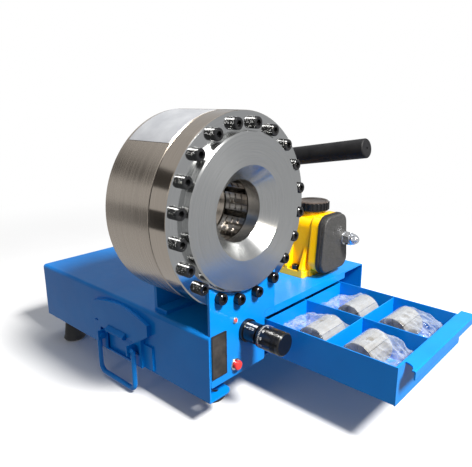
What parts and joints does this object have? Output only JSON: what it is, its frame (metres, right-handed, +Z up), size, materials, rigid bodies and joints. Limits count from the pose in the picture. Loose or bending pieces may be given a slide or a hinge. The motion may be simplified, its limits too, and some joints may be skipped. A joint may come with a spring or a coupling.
{
  "type": "hose crimping machine",
  "caption": "Bench hose crimper: conical head that closes die shoes round a ferrule, hand pump, sizing dial, and a die drawer in a folded steel base.",
  "frame": {"origin": "centre of the four bench holes, on the underside of the base's ears", "axes": "-Y out of the crimping mouth towards the user, +X to the user's right, +Z up"},
  "size_m": [0.492, 0.692, 0.437],
  "materials": {
    "blue_paint": "glossy powder coat",
    "turned_steel": "lathe turned",
    "hardened_steel": "ground",
    "black_oxide": "black oxide",
    "zinc_steel": "zinc plated",
    "yellow_paint": "painted casting",
    "black_rubber": "moulded",
    "black_plastic": "moulded",
    "grey_cast": "rough cast",
    "chrome": "plated",
    "red_plastic": "moulded",
    "dark_badge": "anodised, blank",
    "clear_film": "thin clear film"
  },
  "bodies": {
    "base": {"acorn_nut": "chrome", "base_shell": "blue_paint", "blank_badge": "dark_badge", "cover_screws": "black_oxide", "cylinder_body": "turned_steel", "dial_nut": "zinc_steel", "dial_sleeve": "black_oxide", "drawer_runners": "blue_paint", "end_stud": "zinc_steel", "floor_pan": "blue_paint", "foot_screws": "black_oxide", "front_cover": "turned_steel", "front_plate": "blue_paint", "fulcrum_pin": "zinc_steel", "handle_case_left": "blue_paint", "handle_case_right": "blue_paint", "lamp_lens": "red_plastic", "panel_bezels": "zinc_steel", "pipe_fittings": "zinc_steel", "pressure_pipe": "zinc_steel", "pump_body": "yellow_paint", "pump_end_plate": "grey_cast", "pump_gasket": "black_rubber", "pump_screws": "black_oxide", "rear_saddle": "blue_paint", "rubber_feet": "black_rubber", "size_switch": "black_plastic", "switch_bracket": "zinc_steel"},
    "drawer": {"drawer_tray": "blue_paint", "drawer_dividers": "blue_paint", "drawer_front": "blue_paint", "die_bags": "clear_film", "die_set_1": "hardened_steel", "die_set_2": "hardened_steel", "die_set_3": "hardened_steel", "die_set_4": "hardened_steel", "die_set_5": "hardened_steel", "die_set_6": "hardened_steel"},
    "lever": {"lever_beam": "grey_cast", "lever_tube": "zinc_steel", "lever_grip": "black_rubber"},
    "plunger": {"pump_plunger": "zinc_steel", "plunger_pin": "zinc_steel"},
    "cap": {"filler_cap": "black_plastic"},
    "release": {"release_knob": "black_plastic"},
    "thimble": {"dial_thimble": "black_oxide"},
    "spindle": {"dial_spindle": "zinc_steel"},
    "button": {"push_button": "red_plastic"},
    "bail_left": {"handle_bail_left": "blue_paint"},
    "bail_right": {"handle_bail_right": "blue_paint"},
    "piston": {"cone_piston": "hardened_steel", "piston_seals": "black_rubber"},
    "shoe_1": {"die_shoe_1": "hardened_steel"},
    "shoe_2": {"die_shoe_2": "hardened_steel"},
    "shoe_3": {"die_shoe_3": "hardened_steel"},
    "shoe_4": {"die_shoe_4": "hardened_steel"},
    "shoe_5": {"die_shoe_5": "hardened_steel"},
    "shoe_6": {"die_shoe_6": "hardened_steel"},
    "shoe_7": {"die_shoe_7": "hardened_steel"},
    "shoe_8": {"die_shoe_8": "hardened_steel"}
  },
  "joints": [
    {"name": "drawer_slide", "type": "slide", "parent": "base", "child": "drawer", "axis": [0, 1, 0], "range_m": [0, 0.205]},
    {"name": "lever_swing", "type": "hinge", "parent": "base", "child": "lever", "pos_m": [0.11, -0.055, 0.255], "axis": [1, 0, 0], "range_deg": [-26, 12]},
    {"name": "plunger_stroke", "type": "slide", "parent": "base", "child": "plunger", "axis": [0, 0, 1], "range_m": [-0.008, 0.017]},
    {"name": "cap_turn", "type": "hinge", "parent": "base", "child": "cap", "pos_m": [0.11, -0.176, 0.22], "axis": [0, 0, 1], "continuous": true},
    {"name": "release_turn", "type": "hinge", "parent": "base", "child": "release", "pos_m": [0.15, -0.135, 0.146], "axis": [1, 0, 0], "range_deg": [0, 180]},
    {"name": "dial_turn", "type": "hinge", "parent": "base", "child": "thimble", "pos_m": [-0.1295, -0.28, 0.0848], "axis": [0, 1, 0], "range_deg": [-360, 360]},
    {"name": "spindle_feed", "type": "slide", "parent": "base", "child": "spindle", "axis": [0, 1, 0], "range_m": [-0.0011, 0.0011]},
    {"name": "button_press", "type": "slide", "parent": "base", "child": "button", "axis": [0, 1, 0], "range_m": [0, 0.003], "stiffness_N_per_m": 300, "springref_m": -0.002},
    {"name": "bail_left_swing", "type": "hinge", "parent": "base", "child": "bail_left", "pos_m": [-0.22, -0.029, 0.031], "axis": [0, 1, 0], "range_deg": [0, 100]},
    {"name": "bail_right_swing", "type": "hinge", "parent": "base", "child": "bail_right", "pos_m": [0.22, -0.029, 0.031], "axis": [0, -1, 0], "range_deg": [0, 100]},
    {"name": "piston_stroke", "type": "slide", "parent": "base", "child": "piston", "axis": [0, -1, 0], "range_m": [0, 0.02], "stiffness_N_per_m": 2000, "springref_m": -0.01},
    {"name": "shoe_1_stroke", "type": "slide", "parent": "base", "child": "shoe_1", "axis": [-1, 0, 0], "range_m": [0, 0.012]},
    {"name": "shoe_2_stroke", "type": "slide", "parent": "base", "child": "shoe_2", "axis": [-0.7071, 0, -0.7071], "range_m": [0, 0.012]},
    {"name": "shoe_3_stroke", "type": "slide", "parent": "base", "child": "shoe_3", "axis": [0, 0, -1], "range_m": [0, 0.012]},
    {"name": "shoe_4_stroke", "type": "slide", "parent": "base", "child": "shoe_4", "axis": [0.7071, 0, -0.7071], "range_m": [0, 0.012]},
    {"name": "shoe_5_stroke", "type": "slide", "parent": "base", "child": "shoe_5", "axis": [1, 0, 0], "range_m": [0, 0.012]},
    {"name": "shoe_6_stroke", "type": "slide", "parent": "base", "child": "shoe_6", "axis": [0.7071, 0, 0.7071], "range_m": [0, 0.012]},
    {"name": "shoe_7_stroke", "type": "slide", "parent": "base", "child": "shoe_7", "axis": [0, 0, 1], "range_m": [0, 0.012]},
    {"name": "shoe_8_stroke", "type": "slide", "parent": "base", "child": "shoe_8", "axis": [-0.7071, 0, 0.7071], "range_m": [0, 0.012]}
  ],
  "couplings": [
    {"joint": "plunger_stroke", "follows": "lever_swing", "m_per_rad": -0.0362},
    {"joint": "spindle_feed", "follows": "dial_turn", "m_per_rad": 0.00015915},
    {"joint": "shoe_1_stroke", "follows": "piston_stroke", "ratio": 0.6},
    {"joint": "shoe_2_stroke", "follows": "piston_stroke", "ratio": 0.6},
    {"joint": "shoe_3_stroke", "follows": "piston_stroke", "ratio": 0.6},
    {"joint": "shoe_4_stroke", "follows": "piston_stroke", "ratio": 0.6},
    {"joint": "shoe_5_stroke", "follows": "piston_stroke", "ratio": 0.6},
    {"joint": "shoe_6_stroke", "follows": "piston_stroke", "ratio": 0.6},
    {"joint": "shoe_7_stroke", "follows": "piston_stroke", "ratio": 0.6},
    {"joint": "shoe_8_stroke", "follows": "piston_stroke", "ratio": 0.6}
  ]
}
